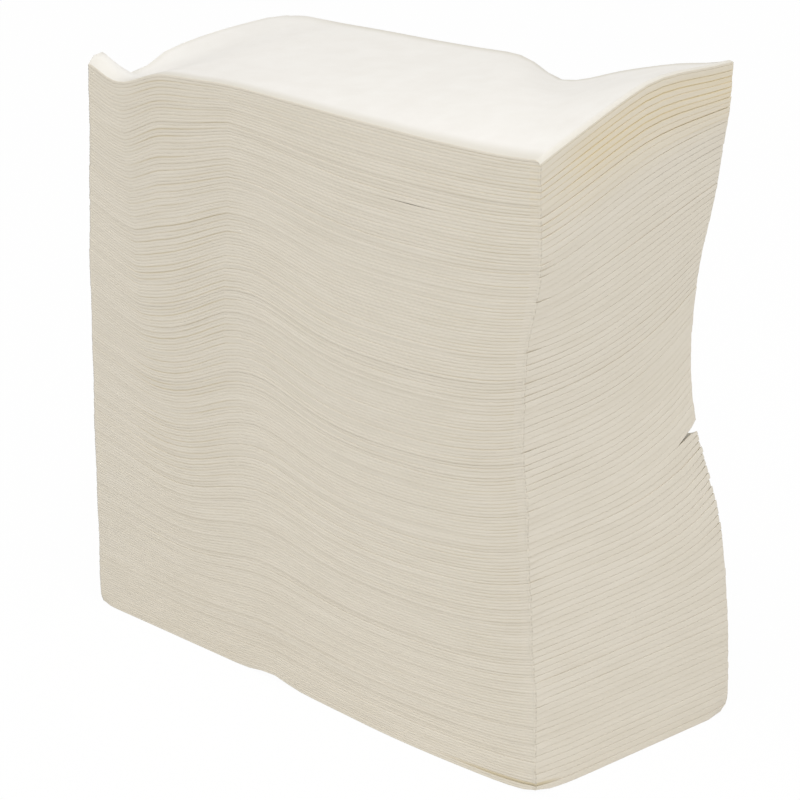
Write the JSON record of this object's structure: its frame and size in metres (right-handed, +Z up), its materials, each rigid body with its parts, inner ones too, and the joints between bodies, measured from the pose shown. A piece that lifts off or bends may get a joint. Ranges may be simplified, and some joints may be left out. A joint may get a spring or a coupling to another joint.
{
  "type": "stack of folded paper napkins",
  "caption": "Free-standing pile of long folded paper guest napkins with soft sagging layers and one fanned corner",
  "frame": {"origin": "centre of the pile's outline at the table", "axes": "+X along the long side towards the half folds, +Y across the pile, +Z up"},
  "size_m": [0.2188, 0.094, 0.2373],
  "materials": {
    "paper": "matte"
  },
  "bodies": {
    "root": {"napkins_001_002": "paper", "napkins_003_004": "paper", "napkins_005_006": "paper", "napkins_007_008": "paper", "napkins_009_010": "paper", "napkins_011_012": "paper", "napkins_013_014": "paper", "napkins_015_016": "paper", "napkins_017_018": "paper", "napkins_019_020": "paper", "napkins_021_022": "paper", "napkins_023_024": "paper", "napkins_025_026": "paper", "napkins_027_028": "paper", "napkins_029_030": "paper", "napkins_031_032": "paper", "napkins_033_034": "paper", "napkins_035_036": "paper", "napkins_037_038": "paper", "napkins_039_040": "paper", "napkins_041_042": "paper", "napkins_043_044": "paper", "napkins_045_046": "paper", "napkins_047_048": "paper", "napkins_049_050": "paper", "napkins_051_052": "paper", "napkins_053_054": "paper", "napkins_055_056": "paper", "napkins_057_058": "paper", "napkins_059_060": "paper", "napkins_061_062": "paper", "napkins_063_064": "paper", "napkins_065_066": "paper", "napkins_067_068": "paper", "napkins_069_070": "paper", "napkins_071_072": "paper", "napkins_073_074": "paper", "napkins_075_076": "paper", "napkins_077_078": "paper", "napkins_079_080": "paper", "napkins_081_082": "paper", "napkins_083_084": "paper", "napkins_085_086": "paper", "napkins_087_088": "paper", "napkins_089_090": "paper", "napkins_091_092": "paper", "napkins_093_094": "paper", "napkins_095_096": "paper", "napkins_097_098": "paper", "napkins_099_100": "paper"}
  },
  "joints": []
}
